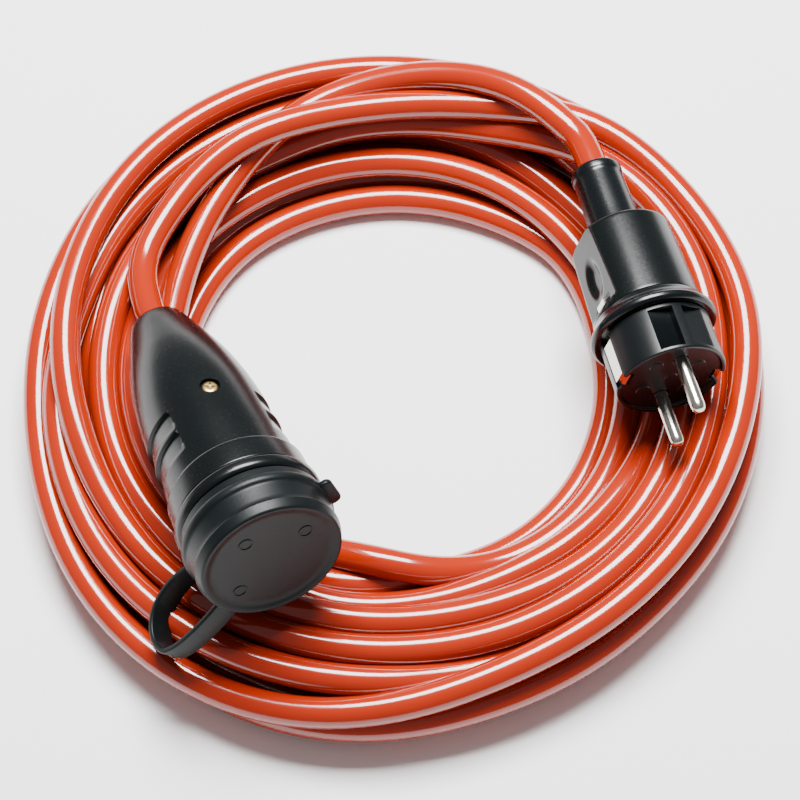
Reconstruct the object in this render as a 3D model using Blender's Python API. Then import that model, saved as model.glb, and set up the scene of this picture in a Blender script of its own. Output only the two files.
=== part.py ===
"""Outdoor extension cord: a coiled cord with an earthed plug and a coupler with a tethered cap.

The driving dimensions below are in millimetres, and every mesh is scaled to metres as it is made.
The origin is on the floor under the middle of the coil, with +Z up.

How the names fit together, each line a piece and what it touches:
  cord_coil, cord_plug_lead, cord_coupler_lead   the cord, with its two ends lifted off the coil
  plug_*                                         the earthed plug, its contacts and its bend sleeve
  coupler_*                                      the rubber coupler, its contacts, clamp and screws
  tether_ring                                    the rubber ring on the coupler, with half the strap
  cap_cover, cap_seal                            the flap over the socket, with the strap's other half

Each connector is modelled along its own +Z, nose forward, round the centre of its front face, and
an empty then lays it on the coil. The cap turns about the strap's bend, which is the cap's origin.
"""
import math

import bmesh
import bpy
from mathutils import Matrix, Vector

MM = 0.001
GAP = 0.3                 # free space between neighbouring pieces
ROUND = 36                # sides of a large turned piece
SMALL_ROUND = 16          # sides of a pin, a screw or a sleeve's bore

# the cord and its coil
CORD_RADIUS = 5.0
COIL_INNER = 68.0
COIL_OUTER = 127.0
COIL_HEIGHT = 26.0
COIL_SHOULDER = 14.0      # height at which the coil's rounded sides begin
COIL_CROWN = (88.0, 109.0)

# pin-and-earth contact system, the same on both connectors
PIN_RADIUS = 2.4
PIN_LENGTH = 19.0
PIN_OFFSET = 9.5          # half the spacing of the two pins
CORE_RADIUS = 1.2

# the plug, from its face (z = 0) back to its sleeve's tail
PLUG_AT = (88.1, -18.1, 48.7)
PLUG_AZIMUTH = 14.5       # degrees from -Y towards +X
PLUG_PITCH = 3.0
PLUG_ROLL = -17.0
PLUG_INSERT_RADIUS = 18.4
PLUG_NECK_RADIUS = 15.8
PLUG_COLLAR = (-24.6, -17.9)
PLUG_BODY_END = -57.3
PLUG_FLAT = 14.6          # half the width across the body's two flats
PLUG_CORD_END = -48.0     # where the sheath stops inside the plug
PLUG_CLAMP_AT = -50.1
PLUG_TERMINAL_AT = -38.8
SLEEVE_TAIL = -85.5

# the coupler, from its cap's face (z = 0) back to its neck
COUPLER_AT = (-37.8, -89.0, 62.2)
COUPLER_AZIMUTH = 22.75
COUPLER_PITCH = 14.0
COUPLER_ROLL = -10.0
NECK_END = -109.8
SOCKET_RADIUS = 19.75
SOCKET_FACE = -5.0
SOCKET_FLOOR = -22.5
HOUSING_MOUTH = -25.4
HOUSING_SCREW_AT = -58.6

# the cap and its strap
CAP_ROLL = 42.0
CAP_INNER = 22.4
CAP_SKIRT_END = -17.5
TAB_TURN = -25.0              # degrees from the side opposite the strap
STRAP_WIDTH = 8.5
STRAP_THICKNESS = 1.8
STRAP_BEND = (-50.0, -11.0)   # x and z of the bend, where the cap turns
BEND_CLEARANCE = 1.5

COLOURS = {
    "cord_orange": ((0.62, 0.065, 0.012), 0.25, 0.0),
    "black_rubber": ((0.012, 0.016, 0.017), 0.45, 0.0),
    "black_plastic": ((0.008, 0.012, 0.013), 0.30, 0.0),
    "grey_plastic": ((0.25, 0.25, 0.24), 0.45, 0.0),
    "nickel": ((0.62, 0.60, 0.56), 0.18, 1.0),
    "brass": ((0.72, 0.52, 0.22), 0.28, 1.0),
    "zinc_steel": ((0.55, 0.53, 0.48), 0.30, 1.0),
    "core_brown": ((0.12, 0.045, 0.02), 0.45, 0.0),
    "core_blue": ((0.02, 0.08, 0.35), 0.45, 0.0),
    "core_green": ((0.20, 0.42, 0.04), 0.45, 0.0),
}


# ---------------------------------------------------------------- scene and materials

def clear_scene():
    for old in list(bpy.data.objects):
        bpy.data.objects.remove(old, do_unlink=True)


def material(name):
    found = bpy.data.materials.get(name)
    if found:
        return found
    colour, roughness, metallic = COLOURS[name]
    made = bpy.data.materials.new(name)
    made.use_nodes = True
    shader = made.node_tree.nodes["Principled BSDF"]
    shader.inputs["Base Color"].default_value = (*colour, 1.0)
    shader.inputs["Roughness"].default_value = roughness
    shader.inputs["Metallic"].default_value = metallic
    return made


def lay_frame(name, at, azimuth, pitch, roll):
    """An empty whose +Z is a connector's nose direction and whose +X is level at no roll."""
    az = math.radians(azimuth)
    lift = math.radians(pitch)
    nose = Vector((math.sin(az) * math.cos(lift), -math.cos(az) * math.cos(lift), math.sin(lift)))
    side = Vector((math.cos(az), math.sin(az), 0.0))
    top = nose.cross(side)
    turn = Matrix((side, top, nose)).transposed()
    frame = bpy.data.objects.new(name, None)
    frame.rotation_euler = (turn @ Matrix.Rotation(math.radians(roll), 3, "Z")).to_euler()
    frame.location = Vector(at) * MM
    bpy.context.scene.collection.objects.link(frame)
    return frame


def add_object(name, data, finish, parent):
    data.materials.append(material(finish))
    made = bpy.data.objects.new(name, data)
    bpy.context.scene.collection.objects.link(made)
    made.parent = parent
    return made


def add_mesh(name, shape, finish, parent=None):
    """Scale a bmesh from millimetres, turn its faces outwards and link it as a named object."""
    bmesh.ops.remove_doubles(shape, verts=shape.verts[:], dist=0.0005)
    bmesh.ops.recalc_face_normals(shape, faces=shape.faces[:])
    bmesh.ops.scale(shape, vec=(MM, MM, MM), verts=shape.verts[:])
    data = bpy.data.meshes.new(name)
    shape.to_mesh(data)
    shape.free()
    data.shade_smooth()
    data.set_sharp_from_angle(angle=math.radians(35))
    return add_object(name, data, finish, parent)


# ---------------------------------------------------------------- shapes, in millimetres

def turned(profile, sides=ROUND, centre=(0.0, 0.0)):
    """Turn a closed (z, radius) outline round +Z.

    A third number in a point is the half width of two flats, at +X and -X.
    """
    shape = bmesh.new()
    rings = []
    for point in profile:
        z, radius = point[:2]
        flat = point[2] if len(point) > 2 else radius
        if radius == 0:
            rings.append([shape.verts.new((centre[0], centre[1], z))])
            continue
        ring = []
        for i in range(sides):
            angle = math.tau * i / sides
            x = max(-flat, min(flat, radius * math.cos(angle)))
            y = radius * math.sin(angle)
            ring.append(shape.verts.new((centre[0] + x, centre[1] + y, z)))
        rings.append(ring)
    for first, second in zip(rings, rings[1:] + rings[:1]):
        join_rings(shape, first, second, sides)
    return shape


def join_rings(shape, first, second, sides):
    if len(first) == 1 and len(second) == 1:
        return
    for i in range(sides):
        j = (i + 1) % sides
        corners = [first[i % len(first)], first[j % len(first)]]
        corners += [second[j % len(second)], second[i % len(second)]]
        shape.faces.new(list(dict.fromkeys(corners)))


def block(low, high):
    """A box between two corners."""
    shape = bmesh.new()
    made = bmesh.ops.create_cube(shape, size=1.0)
    low = Vector(low)
    high = Vector(high)
    size = high - low
    for vert in made["verts"]:
        vert.co = low + Vector(size[k] * (vert.co[k] + 0.5) for k in range(3))
    return shape


def rod(radius, start, end, sides=SMALL_ROUND):
    """A cylinder between two points."""
    start = Vector(start)
    end = Vector(end)
    along = end - start
    shape = turned([(0, 0), (0, radius), (along.length, radius), (along.length, 0)], sides)
    turn = Vector((0, 0, 1)).rotation_difference(along.normalized()).to_matrix().to_4x4()
    offset = Matrix.Rotation(math.pi / sides / 2, 4, "Z")
    shape.transform(Matrix.Translation(start) @ turn @ offset)
    return shape


def ribbon(path, thickness, width):
    """A flat strip that follows (x, z) points, with its width along Y."""
    points = [Vector(p) for p in path]
    left = []
    right = []
    for i, point in enumerate(points):
        before = (point - points[i - 1]).normalized() if i else None
        after = (points[i + 1] - point).normalized() if i + 1 < len(points) else None
        before = before or after
        after = after or before
        mean = (before + after).normalized()
        side = Vector((-mean.y, mean.x)) * (thickness / 2 / max(0.5, mean.dot(after)))
        left.append(point + side)
        right.append(point - side)
    shape = bmesh.new()
    outline = left + right[::-1]
    near = [shape.verts.new((p.x, -width / 2, p.y)) for p in outline]
    far = [shape.verts.new((p.x, width / 2, p.y)) for p in outline]
    count = len(points)
    total = len(outline)
    for i in range(total):
        j = (i + 1) % total
        shape.faces.new((near[i], near[j], far[j], far[i]))
    for i in range(count - 1):
        a, b, c, d = i, i + 1, total - 2 - i, total - 1 - i
        shape.faces.new((near[a], near[d], near[c], near[b]))
        shape.faces.new((far[a], far[b], far[c], far[d]))
    return shape


def smooth_path(points, count):
    """Points read evenly from a Catmull-Rom curve through the given ones."""
    ends = [2 * points[0] - points[1], *points, 2 * points[-1] - points[-2]]
    out = []
    spans = len(points) - 1
    for k in range(count):
        place = spans * k / (count - 1)
        i = min(int(place), spans - 1)
        t = place - i
        a, b, c, d = ends[i:i + 4]
        out.append(0.5 * (2 * b + (c - a) * t + (2 * a - 5 * b + 4 * c - d) * t * t
                          + (3 * b - a - 3 * c + d) * t ** 3))
    return out


def tube(name, points, radius, finish, parent=None, resolution=3):
    """A round cord through the points, with filled ends."""
    curve = bpy.data.curves.new(name, "CURVE")
    curve.dimensions = "3D"
    curve.bevel_depth = radius * MM
    curve.bevel_resolution = resolution
    curve.use_fill_caps = True
    spline = curve.splines.new("POLY")
    spline.points.add(len(points) - 1)
    for target, point in zip(spline.points, points):
        target.co = (*(Vector(point) * MM), 1.0)
    return add_object(name, curve, finish, parent)


def combine(target, shapes, operation):
    """Cut shapes from an object, or join them to it, with exact Boolean modifiers."""
    for i, shape in enumerate(shapes):
        tool = add_mesh(f"{target.name}_tool_{operation.lower()}_{i}", shape,
                        "grey_plastic", target.parent)
        tool.location = target.location
        tool.hide_render = True
        tool.display_type = "WIRE"
        modifier = target.modifiers.new(f"{operation.lower()}_{i}", "BOOLEAN")
        modifier.operation = operation
        modifier.solver = "EXACT"
        modifier.object = tool
    return target


def cut(target, *shapes):
    return combine(target, shapes, "DIFFERENCE")


def join(target, *shapes):
    return combine(target, shapes, "UNION")


def screw(name, head_radius, shank_radius, top, foot, head_height, finish, parent):
    """A pan-headed screw with a cross recess, from its head's top to its foot."""
    top = Vector(top)
    foot = Vector(foot)
    length = (foot - top).length
    profile = [(0, 0), (0, head_radius * 0.8), (head_height * 0.4, head_radius),
               (head_height, head_radius), (head_height, shank_radius),
               (length - shank_radius, shank_radius), (length, 0)]
    turn = Vector((0, 0, 1)).rotation_difference((foot - top).normalized()).to_matrix().to_4x4()
    place = Matrix.Translation(top) @ turn
    shape = turned(profile, SMALL_ROUND)
    shape.transform(place)
    made = add_mesh(name, shape, finish, parent)
    half = head_radius * 0.62
    arm = head_radius * 0.14
    depth = head_height * 0.6
    slots = [block((-half, -arm, -1), (half, arm, depth)), block((-arm, -half, -1), (arm, half, depth))]
    for slot in slots:
        slot.transform(place)
    return cut(made, *slots)


# ---------------------------------------------------------------- the cord

def make_coil():
    inner, outer = COIL_INNER, COIL_OUTER
    crown_in, crown_out = COIL_CROWN
    bevel = 3.0
    profile = [(0, inner + bevel), (bevel, inner), (COIL_SHOULDER, inner),
               ((COIL_SHOULDER + COIL_HEIGHT) / 2, inner + 6), (COIL_HEIGHT, crown_in),
               (COIL_HEIGHT, crown_out), ((COIL_SHOULDER + COIL_HEIGHT) / 2, outer - 7),
               (COIL_SHOULDER, outer), (bevel, outer), (0, outer - bevel)]
    add_mesh("cord_coil", turned(profile, 48), "cord_orange")


def make_leads(plug_frame, coupler_frame):
    """The two ends of the cord, from inside each connector until they lie on the coil."""
    on_coil = COIL_HEIGHT + CORD_RADIUS + GAP + 0.2
    starts = {
        "cord_plug_lead": (plug_frame, (PLUG_CORD_END, SLEEVE_TAIL - 3.0, SLEEVE_TAIL - 12.0),
                           [(56.5, 88.0, 41.0), (46.5, 96.5, 36.5), (34.0, 103.0, 32.2),
                            (19.0, 107.5, on_coil)]),
        "cord_coupler_lead": (coupler_frame, (-74.0, NECK_END - 3.0, NECK_END - 8.0),
                              [(-85.0, 31.5, on_coil), (-81.0, 42.5, on_coil),
                               (-74.5, 53.0, on_coil), (-65.0, 64.5, on_coil),
                               (-53.0, 74.5, on_coil), (-40.0, 82.5, on_coil)]),
    }
    for name, (frame, stations, route) in starts.items():
        place = Matrix.LocRotScale(frame.location / MM, frame.rotation_euler, None)
        straight = [place @ Vector((0, 0, z)) for z in stations]
        way = [Vector(point) for point in route]
        curved = smooth_path([straight[1], straight[2], *way], 14)
        tube(name, [straight[0], *curved], CORD_RADIUS, "cord_orange")


def make_core(name, points, finish, frame):
    way = smooth_path([Vector(point) for point in points], 9)
    tube(name, way, CORE_RADIUS, finish, frame, resolution=2)


# ---------------------------------------------------------------- the plug

def plug_insert(frame):
    """The contact carrier: a drum with pin holes, two earth channels and four key pockets."""
    radius = PLUG_INSERT_RADIUS
    neck = PLUG_NECK_RADIUS
    shoulder = PLUG_COLLAR[1] + GAP
    rear = -30.0
    recess = -1.0
    made = add_mesh("plug_contact_insert", turned([
        (rear, 0), (rear, neck), (shoulder, neck), (shoulder, radius), (-0.7, radius),
        (0, radius - 0.7), (0, radius - 1.6), (recess, radius - 1.9), (recess, 0)]),
        "black_plastic", frame)
    tools = []
    for side in (-1, 1):
        y = side * PIN_OFFSET
        tools.append(rod(PIN_RADIUS + GAP, (0, y, rear - 5), (0, y, 2)))
        x_in, x_out = sorted((side * 14.1, side * 24))
        tools.append(block((x_in, -3.2, rear - 5), (x_out, 3.2, 2)))
        for key in (-1, 1):
            low, high = sorted((key * 1.6, key * 9.4))
            y_in, y_out = sorted((side * 15.4, side * 24))
            tools.append(block((low, y_in, -16.4), (high, y_out, -1.2)))
    cut(made, *tools)
    rails = [block((min(s * 6.4, s * 9.6), -4.6, -52.6), (max(s * 6.4, s * 9.6), 4.6, rear + 1))
             for s in (-1, 1)]
    join(made, *rails)
    at = PLUG_CLAMP_AT
    holes = [rod(1.35, (s * 8.0, -2.8, at), (s * 8.0, 6, at), 12) for s in (-1, 1)]
    cut(made, *holes, block((-12, -3.0, rear - 1.8), (12, 3.0, rear - 0.1)))


def plug_pins(frame):
    """Two drilled pins, each with a terminal head behind the insert and its clamping screw."""
    head_front = -30.4
    head_back = -41.5
    for name, side in (("line", 1), ("neutral", -1)):
        y = side * PIN_OFFSET
        tip = PIN_LENGTH
        made = add_mesh(f"plug_pin_{name}", turned([
            (head_back, 1.6), (head_back, 3.3), (head_front, 3.3), (head_front, PIN_RADIUS),
            (tip - 2.0, PIN_RADIUS), (tip - 0.9, PIN_RADIUS * 0.85), (tip - 0.2, PIN_RADIUS * 0.5),
            (tip, 0), (-35.0, 0), (-35.0, 1.6)], SMALL_ROUND, (0, y)), "nickel", frame)
        at = PLUG_TERMINAL_AT
        cut(made, rod(1.2, (0, y, at), (0, y + side * 6, at), 12))
        screw(f"plug_terminal_screw_{name}", 1.6, 0.9, (0, y + side * 4.3, at),
              (0, y + side * 1.6, at), 0.7, "zinc_steel", frame)


def plug_earth(frame):
    """The earth strip: a bar behind the insert, with an arm along each side channel."""
    arm = [(15.0, -30.9), (15.0, -18.2), (17.5, -15.2), (17.5, -2.4), (15.0, -1.5)]
    path = [(-x, z) for x, z in arm[::-1]] + arm
    made = add_mesh("plug_earth_bracket", ribbon(path, 1.0, 5.4), "nickel", frame)
    cut(made, rod(1.5, (0, 0, -34), (0, 0, -28), 12))


def plug_shell(frame):
    """The grip: a round shell with two flats, each with an oval thumb dimple."""
    flat = PLUG_FLAT
    front = PLUG_COLLAR[0] - GAP
    end = PLUG_BODY_END
    inside = flat - 2.0
    made = add_mesh("plug_body", turned([
        (front, PLUG_NECK_RADIUS + 0.5), (front, 18.3), (front - 2.6, 18.2, 17.4),
        (front - 4.6, 18.1, flat), (-42, 17.6, flat), (end + 1.4, 17.0, flat),
        (end, 15.8, flat - 1.2), (end, 9.8), (end + 2.2, 9.8), (end + 2.2, 14.2, inside),
        (-32.5, 14.4, inside), (-31.6, PLUG_NECK_RADIUS + 0.5)]),
        "black_plastic", frame)
    dimples = []
    for side in (-1, 1):
        dimple = bmesh.new()
        bmesh.ops.create_uvsphere(dimple, u_segments=20, v_segments=12, radius=1.0)
        bmesh.ops.scale(dimple, vec=(1.3, 5.2, 8.6), verts=dimple.verts[:])
        bmesh.ops.translate(dimple, vec=(side * flat, 0, -40.7), verts=dimple.verts[:])
        dimples.append(dimple)
    cut(made, *dimples)


def plug_soft_parts(frame):
    low, high = PLUG_COLLAR
    add_mesh("plug_sealing_collar", turned([
        (low, PLUG_NECK_RADIUS + GAP), (low, 18.8), (low + 1.6, 19.6), (low + 3.6, 20.6),
        (low + 4.6, 21.2), (high - 0.8, 21.1), (high, 20.2), (high, PLUG_NECK_RADIUS + GAP)]), "black_rubber", frame)
    tail = SLEEVE_TAIL
    bore = CORD_RADIUS + GAP
    flange = PLUG_BODY_END + 2.2 + GAP
    add_mesh("plug_bend_sleeve", turned([
        (tail, bore), (tail, 8.1), (tail + 0.8, 8.7), (tail + 2.6, 8.7), (tail + 3.6, 8.3),
        (flange - 8, 8.8), (flange, 9.4), (flange, 11.8), (flange + 2.0, 11.8),
        (flange + 2.0, bore)], 32),
        "black_rubber", frame)


def plug_clamp(frame):
    """A bar that holds the cord's sheath against the insert's two rails."""
    at = PLUG_CLAMP_AT
    bar = add_mesh("plug_cord_clamp", block((-9.6, 5.3, at - 2.4), (9.6, 8.2, at + 2.4)),
                   "grey_plastic", frame)
    tools = []
    for side in (-1, 1):
        x = side * 8.0
        tools.append(rod(1.35, (x, 4, at), (x, 10, at), 12))
        tools.append(rod(1.95, (x, 6.8, at), (x, 10, at), 16))
    cut(bar, *tools)
    for name, side in (("left", -1), ("right", 1)):
        x = side * 8.0
        screw(f"plug_clamp_screw_{name}", 1.6, 1.05, (x, 8.4, at), (x, -2.2, at), 1.2,
              "zinc_steel", frame)


def make_plug(frame):
    plug_insert(frame)
    plug_pins(frame)
    plug_earth(frame)
    plug_shell(frame)
    plug_soft_parts(frame)
    plug_clamp(frame)
    cord_end = PLUG_CORD_END + 0.8
    pin = PIN_OFFSET
    for name, side in (("brown", 1), ("blue", -1)):
        make_core(f"plug_core_{name}", [(0, side * 2.6, cord_end), (0, side * 2.9, -45.6),
                                        (0, side * 6.0, -44.1), (0, side * (pin - 0.3), -42.5),
                                        (0, side * pin, -40.4), (0, side * pin, -37.6)],
                  f"core_{name}", frame)
    make_core("plug_core_green", [(2.7, 0, cord_end), (2.7, 0, -42), (2.5, 0, -37),
                                  (2.6, 0, -32.6)], "core_green", frame)


# ---------------------------------------------------------------- the coupler

def coupler_housing(frame):
    """A soft egg-shaped grip, open at the neck for the cord and at the mouth for the insert."""
    bore = CORD_RADIUS + GAP
    end = NECK_END
    made = add_mesh("coupler_housing", turned([
        (end, bore), (end, 8.6), (end + 0.7, 9.4), (end + 4, 10.8), (end + 9, 12.4),
        (end + 15, 14.3), (end + 22, 16.4), (end + 30, 18.3), (end + 40, 19.8), (end + 50, 20.7),
        (-48, 21.2), (HOUSING_MOUTH, 21.3), (HOUSING_MOUTH, 19.2), (-56, 19.0), (-68, 17.6),
        (-80, 15.6), (-88, 13.2), (-96.6, 10.8), (-96.6, bore)]), "black_rubber", frame)
    well = HOUSING_SCREW_AT
    cut(made, rod(3.1, (0, 18.9, well), (0, 26, well)), rod(1.6, (0, 12, well), (0, 26, well), 12))
    screw("coupler_housing_screw", 2.7, 1.3, (0, 20.2, well), (0, 13.4, well), 1.1,
          "brass", frame)


def coupler_insert(frame):
    """The socket: a round recess with a floor, two contact holes and two earth slots."""
    rim = 21.6
    floor_back = -30.0
    made = add_mesh("coupler_socket_insert", turned([
        (SOCKET_FLOOR, 0), (SOCKET_FLOOR, SOCKET_RADIUS), (SOCKET_FACE - 0.8, SOCKET_RADIUS),
        (SOCKET_FACE, SOCKET_RADIUS + 0.6), (SOCKET_FACE, rim - 0.5), (SOCKET_FACE - 0.5, rim),
        (-25, rim), (-25, 18.9), (-46, 18.9), (-46, 16.5), (floor_back, 16.5), (floor_back, 0)]),
        "black_plastic", frame)
    tools = []
    for side in (-1, 1):
        tools.append(rod(2.9, (side * PIN_OFFSET, 0, -33), (side * PIN_OFFSET, 0, -20)))
        low, high = sorted((side * 15.4, side * 18.1))
        tools.append(block((-2.9, low, -32.2), (2.9, high, -21)))
    cut(made, *tools)


def coupler_contacts(frame):
    """Two contact tubes with drilled terminal ends and screws, and the earth strip."""
    for name, side in (("line", 1), ("neutral", -1)):
        x = side * PIN_OFFSET
        made = add_mesh(f"coupler_contact_{name}", turned([
            (-30.4, 2.5), (-30.4, 3.3), (-58, 3.3), (-58, 1.6), (-50, 1.6), (-50, 0),
            (-46, 0), (-46, 2.5)], SMALL_ROUND, (x, 0)), "brass", frame)
        cut(made, rod(1.2, (x, 0, -54), (x, 6, -54), 12))
        screw(f"coupler_terminal_screw_{name}", 1.6, 0.9, (x, 4.3, -54), (x, 1.6, -54), 0.7,
              "zinc_steel", frame)
    arm = [(17.1, -31.0), (17.1, -20.5), (18.3, -17.5), (18.0, -7.5)]
    path = [(-x, z) for x, z in arm[::-1]] + arm
    shape = ribbon(path, 0.9, 5.0)
    shape.transform(Matrix.Rotation(math.radians(90), 4, "Z"))
    add_mesh("coupler_earth_bracket", shape, "nickel", frame)


def coupler_carrier(frame):
    """The terminal shroud behind the insert, with two rails back to the cord clamp."""
    made = add_mesh("coupler_terminal_carrier", turned([
        (-46.4, 0), (-46.4, 15.8), (-67, 15.8), (-67, 13.3), (-50.4, 13.3), (-50.4, 0)]),
        "grey_plastic", frame)
    rails = [block((min(s * 6.4, s * 14.6), -3.0, -72), (max(s * 6.4, s * 14.6), 3.0, -66))
             for s in (-1, 1)]
    tongues = [block((min(s * 6.4, s * 9.6), -3.0, -86), (max(s * 6.4, s * 9.6), 3.0, -71))
               for s in (-1, 1)]
    join(made, *rails, *tongues)
    tools = [rod(3.7, (s * PIN_OFFSET, 0, -52), (s * PIN_OFFSET, 0, -44)) for s in (-1, 1)]
    tools.append(rod(1.7, (0, 0, -52), (0, 0, -44), 12))
    tools.append(rod(1.6, (0, 11, HOUSING_SCREW_AT), (0, 18, HOUSING_SCREW_AT), 12))
    tools += [rod(1.35, (s * 8.0, -2.4, -82), (s * 8.0, 5, -82), 12) for s in (-1, 1)]
    cut(made, *tools)
    bar = add_mesh("coupler_cord_clamp", block((-9.6, 5.3, -84.7), (9.6, 8.2, -79.3)),
                   "grey_plastic", frame)
    notches = []
    for side in (-1, 1):
        x = side * 8.0
        notches.append(rod(1.35, (x, 4, -82), (x, 10, -82), 12))
        notches.append(rod(1.95, (x, 6.8, -82), (x, 10, -82), 16))
    cut(bar, *notches)
    for name, side in (("left", -1), ("right", 1)):
        x = side * 8.0
        screw(f"coupler_clamp_screw_{name}", 1.6, 1.05, (x, 8.4, -82), (x, -1.9, -82), 1.2,
              "zinc_steel", frame)


def make_coupler(frame):
    coupler_housing(frame)
    coupler_insert(frame)
    coupler_contacts(frame)
    coupler_carrier(frame)
    bore = CORD_RADIUS + GAP
    add_mesh("coupler_gland_seal", turned([(-96.2, bore), (-96.2, 8.6), (-91.5, 8.6),
                                           (-91.5, bore)], 24), "black_rubber", frame)
    cord_end = -73.6
    pin = PIN_OFFSET
    for name, side in (("brown", 1), ("blue", -1)):
        make_core(f"coupler_core_{name}", [(side * 2.6, 0, cord_end), (side * 2.6, 0, -67),
                                           (side * (pin - 0.7), 0, -59.5), (side * pin, 0, -53.5)],
                  f"core_{name}", frame)
    make_core("coupler_core_green", [(0, 2.7, cord_end), (0, 2.6, -70), (0, 0, -58),
                                     (0, 0, -32.6)], "core_green", frame)


# ---------------------------------------------------------------- the cap and its tether

def strap_half(points):
    return ribbon(points, STRAP_THICKNESS, STRAP_WIDTH)


def make_tether(frame):
    """The rubber ring round the coupler's mouth, with the strap's fixed half."""
    made = add_mesh("tether_ring", turned([
        (-32.4, 21.7), (-32.4, 22.4), (-31.6, 23.0), (-23.2, 23.1), (-22.8, 23.8),
        (-22.2, 24.2), (-19.2, 24.2), (-18.3, 23.7), (-18.0, 22.8), (-18.0, 22.0),
        (-25.0, 22.0)]), "black_rubber", frame)
    bend_x, bend_z = STRAP_BEND
    join(made, strap_half([(-23.0, -20.8), (-28.0, -22.4), (-34.0, -23.4), (-40.5, -22.9),
                           (-45.8, -20.4), (-49.0, -16.2),
                           (bend_x, bend_z - BEND_CLEARANCE)]))


def make_cap(frame):
    """The flap: a shallow cup over the socket, with a pull tab and the strap's moving half."""
    bend_x, bend_z = STRAP_BEND
    hinge = bpy.data.objects.new("cap_hinge", None)
    hinge.parent = frame
    hinge.location = (bend_x * MM, 0.0, bend_z * MM)
    bpy.context.scene.collection.objects.link(hinge)
    inner = CAP_INNER
    shift = Vector((-bend_x, 0.0, -bend_z))
    cover = turned([
        (-0.8, 0), (-0.8, 20.6), (-0.1, 21.6), (0, 22.4), (-0.6, 22.9), (-3.6, 23.9),
        (-4.4, 23.4), (-10.8, 23.8), (-11.4, 24.5), (-12.2, 24.9), (-13.4, 24.9),
        (-14.2, 24.2), (-14.8, 23.7), (CAP_SKIRT_END, 23.7), (CAP_SKIRT_END, inner),
        (-3.2, inner), (-3.2, 0)])
    tab = block((22.8, -5.5, -12.9), (27.6, 5.5, -11.0))
    bmesh.ops.bevel(tab, geom=tab.edges[:], offset=0.5, segments=2, affect="EDGES")
    bmesh.ops.rotate(tab, matrix=Matrix.Rotation(math.radians(TAB_TURN), 3, "Z"),
                     verts=tab.verts[:])
    bar = strap_half([(bend_x, bend_z + BEND_CLEARANCE), (-48.8, -6.2), (-46.0, -4.2),
                      (-41.5, -2.8), (-35.5, -1.9), (-28.5, -1.5), (-22.6, -1.6)])
    for shape in (cover, tab, bar):
        bmesh.ops.translate(shape, vec=shift, verts=shape.verts[:])
    made = add_mesh("cap_cover", cover, "black_rubber", hinge)
    join(made, tab, bar)
    seal = turned([(-4.7, 19.9), (-4.7, 21.4), (-3.5, 21.4), (-3.5, 19.9)])
    bmesh.ops.translate(seal, vec=shift, verts=seal.verts[:])
    add_mesh("cap_seal", seal, "black_rubber", hinge)


def main():
    clear_scene()
    plug_frame = lay_frame("plug_frame", PLUG_AT, PLUG_AZIMUTH, PLUG_PITCH, PLUG_ROLL)
    coupler_frame = lay_frame("coupler_frame", COUPLER_AT, COUPLER_AZIMUTH, COUPLER_PITCH,
                              COUPLER_ROLL)
    cap_frame = lay_frame("cap_frame", COUPLER_AT, COUPLER_AZIMUTH, COUPLER_PITCH, CAP_ROLL)
    make_coil()
    make_leads(plug_frame, coupler_frame)
    make_plug(plug_frame)
    make_coupler(coupler_frame)
    make_tether(cap_frame)
    make_cap(cap_frame)


main()
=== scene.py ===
import math

import bmesh
import bpy
import numpy
from mathutils import Matrix, Vector


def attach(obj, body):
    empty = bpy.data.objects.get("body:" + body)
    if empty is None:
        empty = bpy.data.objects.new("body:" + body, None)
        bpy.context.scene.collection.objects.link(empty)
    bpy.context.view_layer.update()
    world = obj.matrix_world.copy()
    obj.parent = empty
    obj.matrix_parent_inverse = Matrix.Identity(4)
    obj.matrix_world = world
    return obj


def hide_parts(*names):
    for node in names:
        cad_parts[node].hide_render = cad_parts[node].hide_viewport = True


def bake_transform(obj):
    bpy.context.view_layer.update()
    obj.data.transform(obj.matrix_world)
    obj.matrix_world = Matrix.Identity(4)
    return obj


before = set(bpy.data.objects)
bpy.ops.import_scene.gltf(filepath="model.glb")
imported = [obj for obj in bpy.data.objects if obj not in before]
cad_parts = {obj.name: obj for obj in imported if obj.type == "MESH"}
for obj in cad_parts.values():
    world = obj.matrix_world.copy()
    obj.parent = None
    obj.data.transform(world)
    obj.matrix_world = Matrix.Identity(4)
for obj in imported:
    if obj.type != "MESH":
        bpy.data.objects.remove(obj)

bl_info = {
    "name": "Extension cord",
    "version": (1, 0, 0),
    "blender": (4, 5, 0),
    "location": "3D View > Sidebar > Extension Cord",
    "description": "A coiled outdoor extension cord with its plug, coupler and tethered cap",
    "category": "Object",
}

# Lengths are in millimetres until a mesh is made. A connector is modelled nose up round the
# centre of its front face, and its matrix then lays the finished mesh on the coil.
MM = 0.001
COLUMNS = 128             # columns of a large turned piece
PIN_COLUMNS = 48          # columns of a pin or a screw
SHARP = 32                # degrees between faces from which an edge stays sharp

# the frames of the connectors: place of the front face, azimuth, pitch and roll
PLUG = ((88.1, -18.1, 48.7), 14.5, 3.0, -17.0)
COUPLER = ((-37.8, -89.0, 62.2), 22.75, 14.0, -10.0)
CAP = (*COUPLER[:3], 42.0)

PIN_OFFSET = 9.5
SCREW_AT = -58.6
SLEEVE_TAIL = -85.5
NECK_END = -109.8
PLUG_CORD_END = -48.0

# the cord's lay
STATIONS = 72             # places along one turn at which the lay is worked out
CLOSEST = 9.7             # how near two turns' centres may come
NECK = (87.7, 32.0)       # distance and height of the last station, in line with the neck
CORD_CLEAR = 5.3          # how near the cord's centre may come to a connector
FLOOR_LEVEL = 5.0         # height of a turn's centre that lies on the floor
ROUNDS = 700              # rounds of settling
TAB_TURN = -25            # degrees from the strap's opposite side to the cap's pull tab

# the camera
LENS = 126.1
CAMERA_LIFT = 61.0        # degrees above the floor
CAMERA_AWAY = 0.95        # metres from what it looks at

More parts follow.
